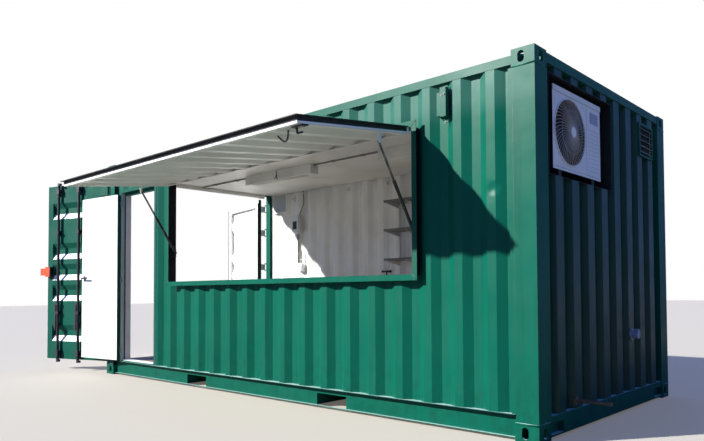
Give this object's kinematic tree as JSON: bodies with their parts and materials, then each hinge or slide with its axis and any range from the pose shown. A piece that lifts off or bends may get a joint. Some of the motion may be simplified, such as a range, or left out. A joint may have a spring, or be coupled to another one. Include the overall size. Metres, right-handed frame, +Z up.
{
  "type": "shipping container cabin",
  "caption": "Twenty foot shipping container fitted out as a cabin, with a top-hung awning over a serving hatch, a side door and open cargo doors.",
  "frame": {"origin": "on the ground, midway between the four bottom corner castings", "axes": "+X along the container towards its closed end, +Y towards the long side opposite the hatch, +Z up"},
  "size_m": [7.5834, 3.772, 2.591],
  "materials": {
    "white_steel": "satin",
    "cream_plastic": "satin",
    "black_steel": "satin",
    "bare_steel": "satin",
    "green_steel": "satin",
    "black_rubber": "matte",
    "white_board": "matte",
    "plywood": "satin",
    "red_paint": "satin",
    "grey_plastic": "satin"
  },
  "bodies": {
    "container": {"air_conditioner_recess": "white_steel", "air_conditioner_unit": "cream_plastic", "awning_hinges": "black_steel", "bottom_corner_castings": "green_steel", "bottom_rail_front": "green_steel", "bottom_rail_rear": "green_steel", "cargo_door_hinges": "green_steel", "ceiling": "white_board", "ceiling_conduit": "cream_plastic", "corner_posts": "green_steel", "cross_members": "green_steel", "door_header": "green_steel", "door_sill": "green_steel", "doorway_frame": "white_steel", "drain_pipe": "bare_steel", "end_header": "green_steel", "end_louvre_vent": "cream_plastic", "end_sill": "green_steel", "end_wall_edge_strip": "green_steel", "end_wall_lower": "green_steel", "end_wall_over_recess": "green_steel", "end_wall_upper": "green_steel", "fan_guard": "cream_plastic", "floor": "plywood", "fork_tunnels": "green_steel", "front_wall_above_doorway": "green_steel", "front_wall_above_hatch": "green_steel", "front_wall_below_hatch": "green_steel", "front_wall_corner": "green_steel", "front_wall_pier": "green_steel", "front_wall_right": "green_steel", "hatch_jambs": "green_steel", "hatch_sill_and_header": "green_steel", "lamp_battens": "cream_plastic", "personnel_door_hinges": "bare_steel", "power_inlet": "grey_plastic", "rear_louvre_vent": "cream_plastic", "rear_wall": "green_steel", "roof_panel": "green_steel", "roof_rails": "green_steel", "shelf_brackets": "white_steel", "shelves": "white_board", "strut_brackets": "black_steel", "switchboard": "cream_plastic", "top_corner_castings": "green_steel", "wall_vent_box": "green_steel"},
    "near_cargo_door": {"near_cargo_leaf": "green_steel", "near_lock_gear": "black_steel", "lock_box": "red_paint"},
    "far_cargo_door": {"far_cargo_leaf": "green_steel", "far_lock_gear": "black_steel"},
    "personnel_door": {"personnel_door_leaf": "white_steel", "personnel_door_handle": "bare_steel"},
    "awning": {"awning_frame": "white_steel", "awning_panel": "green_steel", "awning_seal": "black_rubber", "awning_lugs": "bare_steel"},
    "strut_cylinders": {"gas_strut_cylinders": "black_steel"},
    "strut_rods": {"gas_strut_rods": "bare_steel"}
  },
  "joints": [
    {"name": "near_cargo_door_swing", "type": "hinge", "parent": "container", "child": "near_cargo_door", "pos_m": [-3.04, -1.212, 1.26], "axis": [0, 0, 1], "range_deg": [-105.5, 0]},
    {"name": "far_cargo_door_swing", "type": "hinge", "parent": "container", "child": "far_cargo_door", "pos_m": [-3.04, 1.212, 1.26], "axis": [0, 0, -1], "range_deg": [-101.5, 163.5]},
    {"name": "personnel_door_swing", "type": "hinge", "parent": "container", "child": "personnel_door", "pos_m": [-2.648, -1.226, 1.17], "axis": [0, 0, -1], "range_deg": [-173, 0]},
    {"name": "awning_swing", "type": "hinge", "parent": "container", "child": "awning", "pos_m": [0.2755, -1.275, 2.205], "axis": [1, 0, 0], "range_deg": [0, 82.9]},
    {"name": "strut_swing", "type": "hinge", "parent": "container", "child": "strut_cylinders", "pos_m": [0.2755, -1.2, 1.43], "axis": [1, 0, 0], "range_deg": [-36.5, 0]},
    {"name": "strut_stroke", "type": "slide", "parent": "strut_cylinders", "child": "strut_rods", "axis": [0, -0.5235, 0.8521], "range_m": [-0.2778, 0]}
  ],
  "couplings": [
    {"joint": "strut_swing", "follows": "awning_swing", "ratio": -0.43973},
    {"joint": "strut_stroke", "follows": "awning_swing", "m_per_rad": -0.19176}
  ]
}
